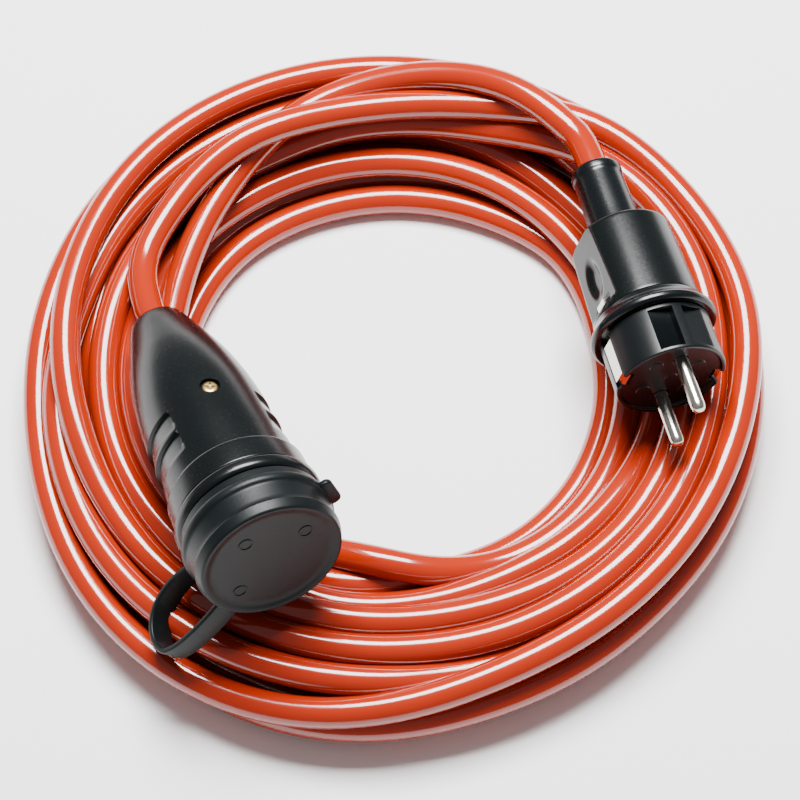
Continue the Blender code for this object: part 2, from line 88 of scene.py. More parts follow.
# the least and the greatest distance of a turn from the middle, every 30 degrees from 45 degrees
INNERMOST = (81, 79, 79, 80, 75, 71, 69, 68, 69, 69, 70, 73)
OUTERMOST = (123, 127, 128.5, 127, 121, 121, 125, 126, 119, 115, 117, 120)

# Each turn of the coil from the plug to the coupler. The first list is its distance from the
# middle every 30 degrees, anticlockwise from 45 degrees. The number or list after it is the height
# that it starts to settle from, and the last number is how firmly it keeps its distance.
TURNS = (
    ((93.9, 110, 106.5, 90, 80, 75, 71, 69, 75.5, 78.5, 79, 80),
     (40, 33, 27, 23, 21, 19, 17, 16, 16, 16, 16, 17), 0.12),
    ((84, 88, 89.5, 90, 90, 88.5, 87, 85, 82, 84, 86, 87),
     (17, 18, 20, 20, 21, 21, 22, 23, 24, 24, 24, 23), 0.12),
    ((91, 101.5, 106, 106, 98, 90, 83, 77, 72, 70, 70.5, 73),
     (22, 20, 18, 16, 14, 12, 10, 8, 6, 5, 5, 5), 0.12),
    ((79, 80, 80, 81, 80, 79, 78, 78, 79, 79, 80, 82), 7, 0.04),
    ((89, 89.5, 90, 91, 89, 88, 88, 88, 88.5, 88.5, 89.5, 91.5), 5, 0.02),
    ((98.5, 99.5, 100, 101, 99, 97, 97.5, 98, 98, 98, 99, 101), 5, 0.02),
    ((108, 109.5, 110, 111, 109, 107, 107, 107.5, 107.5, 107, 108, 110.5), 5, 0.02),
    ((118, 119.5, 121, 121, 117, 116, 117, 117, 117, 112, 115, 119), 5, 0.02),
    ((123, 126, 129, 126, 115, 117, 125, 125.5, 116, 110.5, 114.5, 119), 8, 0.02),
    ((118, 120, 122, 118, 110, 108, 112, 113, 106, 104, 105, 109), 15, 0.02),
    ((108, 110, 111, 108, 101, 98, 102, 103, 97, 95, 98, 107),
     (15, 15, 15, 15, 15, 15, 15, 15, 15, 15, 17, 22), 0.04),
    ((109, 114, 118.5, 118, 112.5, 107.5, 103.5, 101, 100.5, 103, 104, 106),
     (24, 27, 30, 30, 28, 26, 25, 25, 25, 25, 25, 24), 0.12),
    ((107, 101, 100.5, 100, 98, 96.5, 94.5, 94, 92, 93.5, 95, 98),
     (22, 21, 21, 22, 23, 24, 25, 25, 25, 25, 25, 24), 0.12),
    ((106, 111, 111.5, 112, 111, 113.5, 115, 112, 106, 107, 112, 118),
     (21, 21, 21, 21, 21, 21, 22, 22, 20, 18, 16, 16), 0.12),
    ((119, 121, 121.5, 121, 119, 120.5, 126, 124.5, 114, 112, 113.5, 117.5),
     (22, 21, 21, 21, 21, 21, 23, 25, 25, 25, 26, 26), 0.12),
    ((115, 103.5, 98.5, 97.5, 87.7), (27, 28, 30, 31, 32), 0.12),
)


# ---------------------------------------------------------------- colours and materials

def linear(code):
    """A #rrggbb colour as linear red, green, blue and alpha."""
    parts = [int(code[i:i + 2], 16) / 255 for i in (1, 3, 5)]
    return (*(p / 12.92 if p <= 0.04045 else ((p + 0.055) / 1.055) ** 2.4 for p in parts), 1.0)


def add_node(tree, kind, links=(), **values):
    """Add a node, set its properties and sockets, and link what feeds it.

    A value whose name is a property of the node sets it, and the rest name its sockets, with _
    for a space. Each link is (socket of this node, socket that feeds it).
    """
    node = tree.nodes.new(kind)
    sockets = {}
    for name, value in values.items():
        if hasattr(node, name):
            setattr(node, name, value)
        else:
            sockets[name.replace("_", " ")] = value
    for name, value in sockets.items():
        node.inputs[name].default_value = value
    for target, source in links:
        tree.links.new(source, node.inputs[target])
    return node


def new_material(name, **values):
    """A material with one Principled shader, whose sockets take the given constants."""
    made = bpy.data.materials.new(name)
    made.use_nodes = True
    shader = made.node_tree.nodes["Principled BSDF"]
    for key, value in values.items():
        shader.inputs[key.replace("_", " ")].default_value = value
    return made, made.node_tree, shader


def grain(tree, shader, vector, size, depth, detail=3.0, strength=1.0):
    """Bump the surface with noise whose features are size apart, both in metres."""
    noise = add_node(tree, "ShaderNodeTexNoise", [("Vector", vector)], Scale=1 / size,
                     Detail=detail, Roughness=0.55)
    bump = add_node(tree, "ShaderNodeBump", [("Height", noise.outputs["Fac"])],
                    Strength=strength, Distance=depth)
    tree.links.new(bump.outputs["Normal"], shader.inputs["Normal"])
    return noise


def varied(tree, shader, socket, factor, low, high):
    """Let a 0 to 1 factor move one scalar socket between two values."""
    spread = add_node(tree, "ShaderNodeMapRange", [("Value", factor)])
    spread.inputs["To Min"].default_value = low
    spread.inputs["To Max"].default_value = high
    tree.links.new(spread.outputs["Result"], shader.inputs[socket])


def two_tone(tree, shader, factor, first, second):
    """Let a 0 to 1 factor mix the base colour from two hex colours."""
    mix = add_node(tree, "ShaderNodeMix", data_type="RGBA")
    mix.inputs[6].default_value = linear(first)
    mix.inputs[7].default_value = linear(second)
    tree.links.new(factor, mix.inputs[0])
    tree.links.new(mix.outputs[2], shader.inputs["Base Color"])


def object_place(tree):
    return add_node(tree, "ShaderNodeTexCoord").outputs["Object"]


def grained(name, size, depth, rough, colours, cloud=None, detail=3.0, strength=1.0, **values):
    """A material whose fine grain also moves its roughness, in one colour or two.

    Two colours follow the grain, or a broader noise where its scale is given.
    """
    item, tree, shader = new_material(name, **values)
    noise = grain(tree, shader, object_place(tree), size, depth, detail, strength)
    varied(tree, shader, "Roughness", noise.outputs["Fac"], *rough)
    if cloud:
        noise = add_node(tree, "ShaderNodeTexNoise", [("Vector", object_place(tree))], Scale=cloud)
    if len(colours) == 2:
        two_tone(tree, shader, noise.outputs["Fac"], *colours)
    else:
        shader.inputs["Base Color"].default_value = linear(colours[0])
    return item


def make_materials(settings):
    """Every finish on the object, by name."""
    made = {}

    # extruded polyurethane sheath: glossy, its surface faintly uneven along the cores inside it
    item, tree, shader = new_material("cord sheath", Roughness=settings.cord_roughness,
                                      Coat_Weight=0.5, Coat_Roughness=0.04, IOR=1.46)
    round_it = add_node(tree, "ShaderNodeAttribute", attribute_name="cord_round")
    along = add_node(tree, "ShaderNodeAttribute", attribute_name="cord_along")
    split = add_node(tree, "ShaderNodeSeparateXYZ", [("Vector", round_it.outputs["Vector"])])
    stretch = add_node(tree, "ShaderNodeMath", [(0, along.outputs["Fac"])], operation="MULTIPLY")
    stretch.inputs[1].default_value = 0.22
    place = add_node(tree, "ShaderNodeCombineXYZ", [
        ("X", split.outputs["X"]), ("Y", split.outputs["Y"]), ("Z", stretch.outputs[0])])
    grain(tree, shader, place.outputs["Vector"], 0.006, 0.00012, 2.0, 0.5)
    cloud = add_node(tree, "ShaderNodeTexNoise", [("Vector", object_place(tree))], Scale=18.0)
    two_tone(tree, shader, cloud.outputs["Fac"], settings.cord_shade, settings.cord_colour)
    made["cord_sheath"] = item

    # injection-moulded rubber compound of the grips, from a finely eroded, half-polished mould
    made["black_rubber"] = grained(
        "moulded grip rubber", 0.0009, 0.00003, (0.20, 0.31), ("#030607", settings.rubber_colour),
        cloud=60.0, strength=0.6, Specular_IOR_Level=0.34, IOR=1.5)

    # softer moulded rubber of the bend sleeve and the collar
    made["sleeve_rubber"] = grained(
        "soft sleeve rubber", 0.0007, 0.00003, (0.20, 0.31), ("#04080A",), strength=0.6,
        Specular_IOR_Level=0.38, IOR=1.5)

    # matt cap and strap, moulded in the same soft compound with an eroded face
    made["cap_rubber"] = grained(
        "matt cap rubber", 0.0006, 0.00005, (0.34, 0.46), ("#060A0B", settings.cap_colour),
        cloud=90.0, detail=4.0, strength=0.7, Specular_IOR_Level=0.2, IOR=1.5)

    # glass-filled nylon of the contact carriers, with an uneven moulded sheen
    made["black_plastic"] = grained(
        "moulded black nylon", 0.0005, 0.00002, (0.26, 0.40), ("#04080A",), strength=0.5,
        Specular_IOR_Level=0.36, IOR=1.53)

    # natural grey polyamide of the clamp and terminal carrier
    made["grey_plastic"] = grained(
        "moulded grey polyamide", 0.0008, 0.00003, (0.38, 0.55), ("#8C8C88",), IOR=1.53)

    # bright nickel over turned or stamped brass
    made["nickel_plate"] = grained(
        "bright nickel plate", 0.0012, 0.000015, (0.12, 0.24), ("#CFCBC2",), detail=4.0,
        strength=0.6, Metallic=1.0)

    # plain brass of the socket's contact tubes
    made["contact_brass"] = grained(
        "stamped brass", 0.0015, 0.00002, (0.22, 0.38), ("#B08A45", "#D9B465"), detail=4.0,
        strength=0.6, Metallic=1.0)

    # yellow-passivated zinc on the housing's screw
    made["housing_screw"] = grained(
        "yellow zinc screw", 0.0008, 0.00003, (0.25, 0.42), ("#A9884E", "#DCC48A"), detail=4.0,
        strength=0.6, Metallic=1.0)

    # clear-passivated zinc on the small steel screws
    made["zinc_steel"] = grained(
        "clear zinc screw", 0.0008, 0.00003, (0.25, 0.42), ("#B9B7B0",), detail=4.0,
        strength=0.6, Metallic=1.0)

    # extruded insulation of the three cores
    for name, code in (("core_brown", "#5A2F1A"), ("core_blue", "#1F4FA0"),
                       ("core_green", "#7FA51E")):
        made[name] = grained(name.replace("_", " "), 0.002, 0.00003, (0.32, 0.48), (code,),
                             IOR=1.5)
    return made


# ---------------------------------------------------------------- shapes, in millimetres

def laid(at, azimuth, pitch, roll):
    """The matrix from a connector's millimetres to the row frame's metres."""
    az = math.radians(azimuth)
    lift = math.radians(pitch)
    nose = Vector((math.sin(az) * math.cos(lift), -math.cos(az) * math.cos(lift), math.sin(lift)))
    side = Vector((math.cos(az), math.sin(az), 0.0))
    top = nose.cross(side)
    turn = Matrix((side, top, nose)).transposed() @ Matrix.Rotation(math.radians(roll), 3, "Z")
    return Matrix.Translation(Vector(at) * MM) @ turn.to_4x4() @ Matrix.Scale(MM, 4)


def rounded(outline, step=None, arc=5):
    """Round each corner of a closed (z, r, fillet) outline, and split edges longer than step."""
    corners = [(Vector(point[:2]), point[2] if len(point) > 2 else 0.0) for point in outline]
    count = len(corners)
    out = []
    for i, (here, fillet) in enumerate(corners):
        before = corners[i - 1][0] - here
        after = corners[(i + 1) % count][0] - here
        if fillet <= 0 or before.length == 0 or after.length == 0:
            out.append(here)
            continue
        start = here + before.normalized() * min(fillet, before.length * 0.48)
        end = here + after.normalized() * min(fillet, after.length * 0.48)
        for k in range(arc + 1):
            t = k / arc
            out.append(start * (1 - t) ** 2 + here * 2 * t * (1 - t) + end * t ** 2)
    if step is None:
        return out
    fine = []
    for first, second in zip(out, out[1:] + out[:1]):
        parts = max(1, math.ceil((second - first).length / step))
        fine += [first.lerp(second, k / parts) for k in range(parts)]
    return fine


def lathe(outline, columns=COLUMNS, centre=(0.0, 0.0), shaped=None):
    """Turn a closed (z, r) outline round +Z. A shaped function moves each point afterwards."""
    shape = bmesh.new()
    rings = []
    for z, radius in outline:
        if radius < 1e-6:
            rings.append([shape.verts.new((centre[0], centre[1], z))])
            continue
        ring = []
        for i in range(columns):
            angle = math.tau * i / columns
            point = (radius * math.cos(angle), radius * math.sin(angle), z)
            if shaped:
                point = shaped(*point)
            ring.append(shape.verts.new((centre[0] + point[0], centre[1] + point[1], point[2])))
        rings.append(ring)
    for first, second in zip(rings, rings[1:] + rings[:1]):
        if len(first) == 1 and len(second) == 1:
            continue
        for i in range(columns):
            j = (i + 1) % columns
            ends = [first[i % len(first)], first[j % len(first)]]
            ends += [second[j % len(second)], second[i % len(second)]]
            shape.faces.new(list(dict.fromkeys(ends)))
    bmesh.ops.recalc_face_normals(shape, faces=shape.faces[:])
    return shape


def merged(first, second):
    """Add a second bmesh's faces to the first."""
    spare = bpy.data.meshes.new("spare")
    second.to_mesh(spare)
    second.free()
    first.from_mesh(spare)
    bpy.data.meshes.remove(spare)
    return first


def block(low, high):
    """A box between two corners."""
    shape = bmesh.new()
    made = bmesh.ops.create_cube(shape, size=1.0)
    low = Vector(low)
    size = Vector(high) - low
    for vert in made["verts"]:
        vert.co = low + Vector(size[k] * (vert.co[k] + 0.5) for k in range(3))
    return shape


def rod(radius, start, end, columns=PIN_COLUMNS):
    """A cylinder between two points."""
    start = Vector(start)
    along = Vector(end) - start
    shape = lathe([(0, 0), (0, radius), (along.length, radius), (along.length, 0)], columns)
    turn = Vector((0, 0, 1)).rotation_difference(along.normalized()).to_matrix().to_4x4()
    shape.transform(Matrix.Translation(start) @ turn)
    return shape


def smooth_path(points, count):
    """Points read evenly from a Catmull-Rom curve through the given ones."""
    ends = [2 * points[0] - points[1], *points, 2 * points[-1] - points[-2]]
    out = []
    spans = len(points) - 1
    for k in range(count):
        place = spans * k / (count - 1)
        i = min(int(place), spans - 1)
        t = place - i
        a, b, c, d = ends[i:i + 4]
        out.append(0.5 * (2 * b + (c - a) * t + (2 * a - 5 * b + 4 * c - d) * t * t
                          + (3 * b - a - 3 * c + d) * t ** 3))
    return out


def strip(points, thickness, width, count=72, corner=0.55):
    """A flat strip with rounded edges that follows (x, z) points, with its width along Y."""
    way = smooth_path([Vector(p) for p in points], count)
    half = thickness / 2
    side = width / 2
    section = []
    for y_sign, t_sign, turn in ((1, 1, 0), (-1, 1, 1), (-1, -1, 2), (1, -1, 3)):
        centre = (y_sign * (side - corner), t_sign * (half - corner))
        for k in range(5):
            angle = math.radians(90 * turn + 22.5 * k)
            section.append((centre[0] + corner * math.cos(angle),
                            centre[1] + corner * math.sin(angle)))
    shape = bmesh.new()
    rings = []
    for i, point in enumerate(way):
        along = (way[min(i + 1, count - 1)] - way[max(i - 1, 0)]).normalized()
        across = Vector((-along.y, along.x))
        rings.append([shape.verts.new((point.x + across.x * t, y, point.y + across.y * t))
                      for y, t in section])
    for first, second in zip(rings, rings[1:]):
        for i in range(len(section)):
            j = (i + 1) % len(section)
            shape.faces.new((first[i], first[j], second[j], second[i]))
    shape.faces.new(rings[0][::-1])
    shape.faces.new(rings[-1])
    bmesh.ops.recalc_face_normals(shape, faces=shape.faces[:])
    return shape


def mesh_object(name, shape, finish):
    """Link a bmesh, still in its own millimetres, as an object of one material."""
    data = bpy.data.meshes.new(name)
    shape.to_mesh(data)
    shape.free()
    data.materials.append(finish)
    made = bpy.data.objects.new(name, data)
    bpy.context.scene.collection.objects.link(made)
    return made


def baked(made):
    """Turn an object's modifiers into its plain mesh."""
    graph = bpy.context.evaluated_depsgraph_get()
    data = bpy.data.meshes.new_from_object(made.evaluated_get(graph))
    if isinstance(made.data, bpy.types.Mesh):
        made.modifiers.clear()
        made.data = data
        return made
    name = made.name
    bpy.data.objects.remove(made)
    plain = bpy.data.objects.new(name, data)
    bpy.context.scene.collection.objects.link(plain)
    return plain


def carved(made, cutters, joined=(), edge=0.3):
    """Cut and join shapes with exact Booleans, then round the edges."""
    tools = []
    for operation, shapes in (("DIFFERENCE", cutters), ("UNION", joined)):
        for shape in shapes:
            tool = mesh_object(f"{made.name} tool", shape, made.data.materials[0])
            modifier = made.modifiers.new("cut", "BOOLEAN")
            modifier.operation = operation
            modifier.solver = "EXACT"
            modifier.object = tool
            tools.append(tool)
    if edge:
        bevel = made.modifiers.new("edges", "BEVEL")
        bevel.width = edge
        bevel.segments = 3
        bevel.limit_method = "ANGLE"
        bevel.angle_limit = math.radians(SHARP)
        bevel.use_clamp_overlap = True
    baked(made)
    for tool in tools:
        bpy.data.objects.remove(tool)
    return made


def finished(made, place, body, replaces=()):
    made.data.transform(place)
    made.data.shade_smooth()
    made.data.set_sharp_from_angle(angle=math.radians(SHARP))
    if replaces:
        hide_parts(*replaces)
    if body:
        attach(made, body)
    return made


def soft_least(value, limit, blend):
    """The lesser of two numbers, rounded where they meet."""
    h = max(0.0, min(1.0, 0.5 + 0.5 * (limit - value) / blend))
    return value * h + limit * (1 - h) - blend * h * (1 - h)


def step_up(value, low, high):
    """0 below low, 1 above high, and smooth between."""
    t = max(0.0, min(1.0, (value - low) / (high - low)))
    return t * t * (3 - 2 * t)


# ---------------------------------------------------------------- the cord

def connector_bulk():
    """Spheres that fill both connectors, as centre and radius, for the cord to keep clear of."""
    plug = ((0, 18.4), (-6, 18.4), (-12, 18.4), (-21, 21.2), (-27, 18), (-33, 18), (-39, 17.5),
            (-45, 17.5), (-51, 17.2), (-55, 16), (-62, 9.5), (-68, 9.2), (-74, 9),
            (-80, 8.8))
    coupler = ((-3, 23.5), (-9, 24), (-13, 25), (-20, 24.3), (-28, 23.1), (-34, 22), (-40, 21.4),
               (-46, 21.3), (-52, 21), (-58, 20.7), (-64, 20.3), (-70, 19.7), (-76, 18.8),
               (-82, 17.8), (-88, 16.3), (-93, 14.9), (-98, 13.2), (-103, 11.6), (-107, 10.3))
    out = []
    for place, spheres in ((laid(*PLUG), plug), (laid(*COUPLER), coupler)):
        for z, radius in spheres:
            out.append((place @ Vector((0, 0, z)) / MM, radius))
    return out


def read_turns():
    """The wanted distance, the first height and the firmness at every station of the lay."""
    distances = []
    heights = []
    firmness = []
    for distance, height, firm in TURNS:
        distances += distance
        heights += height if isinstance(height, tuple) else [height] * len(distance)
        firmness += [firm] * len(distance)
    per_reading = STATIONS // 12
    steps = numpy.arange((len(distances) - 1) * per_reading + 1) / per_reading
    ways = smooth_path([Vector(pair) for pair in zip(distances, heights)], len(steps))
    wanted = numpy.array([way.x for way in ways])
    height = numpy.array([way.y for way in ways])
    firm = numpy.interp(steps, numpy.arange(len(firmness)), firmness)
    return wanted, height, firm


def settle(rounds):
    """Let the turns sink onto the floor and one another, and give the coil's path.

    Each station keeps its angle. Its distance and height are moved a little each round by its
    weight, by the pull to its wanted distance, by the cord's stiffness, and by every other turn
    at that angle and each connector, which push it away.
    """
    wanted, height, firm = read_turns()
    count = len(wanted)
    angle = numpy.radians(45 + 360 / STATIONS * numpy.arange(count))
    cosine = numpy.cos(angle)
    sine = numpy.sin(angle)
    marks = numpy.arange(13) * STATIONS // 12
    place = numpy.arange(count) % STATIONS
    least = numpy.interp(place, marks, INNERMOST + INNERMOST[:1])
    most = numpy.interp(place, marks, OUTERMOST + OUTERMOST[:1])
    distance = wanted.copy()
    bulk = connector_bulk()
    free = numpy.ones(count)
    free[:4] = 0
    free[-4:] = 0
    for turn in range(rounds):
        height -= 0.5 * (1 - turn / rounds) + 0.08
        distance += firm * (wanted - distance)
        drift = distance - wanted
        drift[1:-1] += 0.3 * (drift[:-2] - 2 * drift[1:-1] + drift[2:])
        distance = wanted + drift
        height[1:-1] += 0.35 * (height[:-2] - 2 * height[1:-1] + height[2:])
        for again in range(2):
            for apart in range(STATIONS, count, STATIONS):
                across = distance[apart:] - distance[:-apart]
                up = height[apart:] - height[:-apart]
                far = numpy.hypot(across, up) + 1e-6
                push = numpy.clip(CLOSEST - far, 0, None) * 0.45
                distance[apart:] += push * across / far * 0.6
                distance[:-apart] -= push * across / far * 0.6
                height[apart:] += push * up / far
                height[:-apart] -= push * up / far
            height = numpy.maximum(height, FLOOR_LEVEL)
            distance = numpy.clip(distance, least, most - 0.55 * sine * (height - 12))
        for centre, radius in bulk:
            x = distance * cosine - centre.x
            y = distance * sine - centre.y
            far = numpy.sqrt(x * x + y * y + (height - centre.z) ** 2) + 1e-6
            push = numpy.clip(radius + CORD_CLEAR - far, 0, None) * free
            height -= push
            distance += 0.3 * push * (x * cosine + y * sine) / far
            height = numpy.maximum(height, FLOOR_LEVEL)
        distance[:3] = (93.9, 98.7, 102.6)
        height[:3] = (43.9, 43.4, 42.4)
        distance[-3:] = (NECK[0] + 8.0, NECK[0] + 4.6, NECK[0])
        height[-3:] = (NECK[1] - 3.0, NECK[1] - 1.9, NECK[1])
    return [Vector(p) for p in zip(distance * cosine, distance * sine, height)]


def cord_path():
    """The whole centreline, from the plug's clamp round the coil to the coupler's clamp."""
    plug = laid(*PLUG)
    coupler = laid(*COUPLER)
    start = [plug @ Vector((0, 0, z)) / MM for z in (PLUG_CORD_END, -56, -66, -76, SLEEVE_TAIL)]
    end = [coupler @ Vector((0, 0, z)) / MM for z in (NECK_END, -103, -96, -89, -82, -74)]
    way = start + settle(ROUNDS)[1:] + end
    fine = smooth_path(way, len(way) * 2 - 1)
    points = numpy.array([tuple(p) for p in fine])
    fixed = 12
    for again in range(10):
        inner = points[fixed:-fixed]
        inner += 0.25 * (points[fixed - 1:-fixed - 1] - 2 * inner + points[fixed + 1:-fixed + 1])
    return points * MM


def cord_tree(finish):
    """A node group that sweeps a round section along a path and stores where each point lies."""
    tree = bpy.data.node_groups.new("Cord along a path", "GeometryNodeTree")
    faces = tree.interface
    faces.new_socket("Path", in_out="INPUT", socket_type="NodeSocketGeometry")
    size = faces.new_socket("Diameter", in_out="INPUT", socket_type="NodeSocketFloat")
    size.subtype = "DISTANCE"
    faces.new_socket("Sides", in_out="INPUT", socket_type="NodeSocketInt")
    faces.new_socket("Cord", in_out="OUTPUT", socket_type="NodeSocketGeometry")
    given = add_node(tree, "NodeGroupInput")
    half = add_node(tree, "ShaderNodeMath", [(0, given.outputs["Diameter"])],
                    operation="MULTIPLY")
    half.inputs[1].default_value = 0.5
    ring = add_node(tree, "GeometryNodeCurvePrimitiveCircle", [
        ("Resolution", given.outputs["Sides"]), ("Radius", half.outputs[0])])
    where = add_node(tree, "GeometryNodeInputPosition")
    section = add_node(tree, "GeometryNodeStoreNamedAttribute", [
        ("Geometry", ring.outputs["Curve"])], data_type="FLOAT_VECTOR", domain="POINT",
        Name="cord_round")
    tree.links.new(where.outputs["Position"], section.inputs["Value"])
    length = add_node(tree, "GeometryNodeSplineParameter")
    path = add_node(tree, "GeometryNodeStoreNamedAttribute", [
        ("Geometry", given.outputs["Path"])], data_type="FLOAT", domain="POINT",
        Name="cord_along")
    tree.links.new(length.outputs["Length"], path.inputs["Value"])
    sweep = add_node(tree, "GeometryNodeCurveToMesh", [
        ("Curve", path.outputs["Geometry"]), ("Profile Curve", section.outputs["Geometry"])])
    sweep.inputs["Fill Caps"].default_value = True
    whole = add_node(tree, "GeometryNodeRealizeInstances", [("Geometry", sweep.outputs["Mesh"])])
    coated = add_node(tree, "GeometryNodeSetMaterial", [
        ("Geometry", whole.outputs["Geometry"])], Material=finish)
    add_node(tree, "NodeGroupOutput", [("Cord", coated.outputs["Geometry"])])
    return tree


def with_nodes(made, tree, **inputs):
    """Give an object a Geometry Nodes modifier and set the group's named inputs."""
    modifier = made.modifiers.new(tree.name, "NODES")
    modifier.node_group = tree
    for item in tree.interface.items_tree:
        if item.in_out == "INPUT" and item.name.lower() in inputs:
            modifier[item.identifier] = inputs[item.name.lower()]
    return baked(made)


def make_cord(settings, finishes):
    path = cord_path()
    curve = bpy.data.curves.new("cord", "CURVE")
    curve.dimensions = "3D"
    spline = curve.splines.new("POLY")
    spline.points.add(len(path) - 1)
    for target, point in zip(spline.points, path):
        target.co = (*point, 1.0)
    line = bpy.data.objects.new("cord", curve)
    bpy.context.scene.collection.objects.link(line)
    made = with_nodes(line, cord_tree(finishes["cord_sheath"]),
                      diameter=settings.cord_diameter, sides=24)
    made.data.shade_smooth()
    made.data.set_sharp_from_angle(angle=math.radians(60))
    return made, path


# ---------------------------------------------------------------- the plug

def plug_grip(finishes, place):
    """The round shell with two flats, each with a shallow oval thumb rest."""
    def shaped(x, y, z):
        if math.hypot(x, y) < 15.2 and z > -56:
            return x, y, z
        narrow = 18.8 - 4.2 * step_up(-z, 26.0, 28.6)
        side = math.copysign(1, x)
        wide = soft_least(abs(x), narrow, 0.35)
        near = math.hypot(y / 5.4, (z + 40.7) / 8.8)
        if near < 1.0 and wide > 12:
            wide -= 1.5 * (1 - step_up(near, 0.35, 1.0))
        return side * wide, y, z

    front = -24.9
    end = -57.3
    outline = rounded([
        (front, 16.3), (front, 18.3, 0.5), (-42, 17.6, 5.0), (end + 0.8, 17.0, 1.0),
        (end, 15.9, 0.8), (end, 9.8, 0.5), (end + 2.2, 9.8), (end + 2.2, 12.5),
        (-32.5, 12.5), (-31.6, 16.3)], 0.8)
    made = mesh_object("plug_grip", lathe(outline, 160, shaped=shaped), finishes["black_rubber"])
    return finished(made, place, "root", ("plug_body",))


def plug_sleeve(finishes, place):
    """The bend sleeve, with a rolled lip at its tail."""
    tail = SLEEVE_TAIL
    outline = rounded([
        (tail, 5.1, 0.3), (tail, 8.2, 0.5), (tail + 0.9, 8.75, 0.6), (tail + 2.8, 8.7, 0.7),
        (tail + 3.8, 8.3, 0.9), (-63, 8.8, 4.0), (-54.8, 9.4, 0.2), (-54.8, 11.8, 0.3),
        (-52.8, 11.8, 0.3), (-52.8, 5.1)], 2.0)
    made = mesh_object("bend_sleeve", lathe(outline, 96), finishes["sleeve_rubber"])
    return finished(made, place, "root", ("plug_bend_sleeve",))


def plug_collar(finishes, place):
    outline = rounded([
        (-24.6, 16.1), (-24.6, 18.7, 0.3), (-22.6, 19.4, 1.2), (-20.8, 20.9, 0.7),
        (-20.1, 21.3, 0.5), (-18.7, 21.2, 0.5), (-17.9, 20.2, 0.5), (-17.9, 16.1)])
    made = mesh_object("sealing_collar", lathe(outline), finishes["sleeve_rubber"])
    return finished(made, place, "root", ("plug_sealing_collar",))


def plug_insert(finishes, place):
    """The contact carrier: a drum with pin holes, two earth channels and four key pockets."""
    rear = -30.0
    outline = rounded([
        (rear, 0), (rear, 15.8), (-17.6, 15.8), (-17.6, 18.4, 0.3), (0, 18.4, 0.8),
        (0, 16.9, 0.3), (-1.0, 16.6, 0.3), (-1.0, 0)])
    made = mesh_object("contact_carrier", lathe(outline), finishes["black_plastic"])
    tools = []
    for side in (-1, 1):
        y = side * PIN_OFFSET
        tools.append(rod(2.7, (0, y, rear - 5), (0, y, 2)))
        x_in, x_out = sorted((side * 14.1, side * 24))
        tools.append(block((x_in, -3.2, rear - 5), (x_out, 3.2, 2)))
        for key in (-1, 1):
            low, high = sorted((key * 1.6, key * 9.4))
            y_in, y_out = sorted((side * 15.4, side * 24))
            tools.append(block((low, y_in, -16.4), (high, y_out, -1.2)))
    tools.append(block((-12, -3.0, rear - 1.8), (12, 3.0, rear - 0.1)))
    rails = [block((min(s * 6.4, s * 9.6), -4.6, -52.6), (max(s * 6.4, s * 9.6), 4.6, rear + 1))
             for s in (-1, 1)]
    carved(made, tools, rails)
    holes = [rod(1.35, (s * 8.0, -6, -50.1), (s * 8.0, 6, -50.1), 24) for s in (-1, 1)]
    carved(made, holes, edge=0)
    return finished(made, place, "root", ("plug_contact_insert",))


def plug_pins(finishes, place):
    """Two turned pins with rounded tips, and the terminal heads behind them."""
    outline = rounded([
        (-41.5, 1.6), (-41.5, 3.3, 0.3), (-30.4, 3.3, 0.2), (-30.4, 2.4), (16.6, 2.4, 0.5),
        (18.6, 1.9, 1.2), (19.0, 0), (-35, 0), (-35, 1.6)], arc=7)
    for name, side in (("line", 1), ("neutral", -1)):
        y = side * PIN_OFFSET
        made = mesh_object(f"turned_pin_{name}", lathe(outline, PIN_COLUMNS, (0, y)),
                           finishes["nickel_plate"])
        carved(made, [rod(1.2, (0, y, -38.8), (0, y + side * 6, -38.8), 24)], edge=0)
        finished(made, place, "root", (f"plug_pin_{name}",))


# ---------------------------------------------------------------- the coupler

def coupler_grip(finishes, place):
    """The egg-shaped grip, with a stepped pair of shallow thumb rests on each side."""
    windows = ((-57.5, -49.0), (-48.0, -39.5))

    def shaped(x, y, z):
        radius = math.hypot(x, y)
        if radius < 19.6 or not -58 < z < -39:
            return x, y, z
        turn = math.degrees(math.atan2(abs(x), y))
        if not 42 < turn < 138:
            return x, y, z
        sunk = 0.0
        inside = step_up(turn, 43.5, 45) * (1 - step_up(turn, 135, 136.5))
        for rear, front in windows:
            if rear < z < front:
                ledge = step_up(z, rear, rear + 0.5)
                rise = 1 - (z - rear - 0.5) / (front - rear - 0.5)
                sunk = max(sunk, 1.1 * ledge * max(0.0, min(1.0, rise)) ** 0.7)
        scale = 1 - sunk * inside / radius
        return x * scale, y * scale, z

    end = NECK_END
    bore = 5.1
    outline = rounded([
        (end, bore, 0.3), (end, 8.8, 0.5), (end + 0.6, 9.5, 0.6), (end + 4, 10.8, 2.0),
        (end + 9, 12.4, 3.0), (end + 15, 14.3, 3.5), (end + 22, 16.4, 4.0),
        (end + 30, 18.3, 5.0), (end + 40, 19.9, 6.0), (end + 50, 20.7, 6.0), (-46, 21.3, 5.0),
        (-25.4, 21.4, 0.3), (-25.4, 19.2), (-56, 19.0), (-68, 17.6), (-80, 15.6),
        (-88, 13.2), (-96.6, 10.8), (-96.6, bore)], 0.5)
    made = mesh_object("coupler_grip", lathe(outline, 192, shaped=shaped),
                       finishes["black_rubber"])
    well = SCREW_AT
    carved(made, [rod(3.3, (0, 18.9, well), (0, 26, well)), rod(1.6, (0, 12, well), (0, 26, well))],
           edge=0)
    return finished(made, place, "root", ("coupler_housing",))


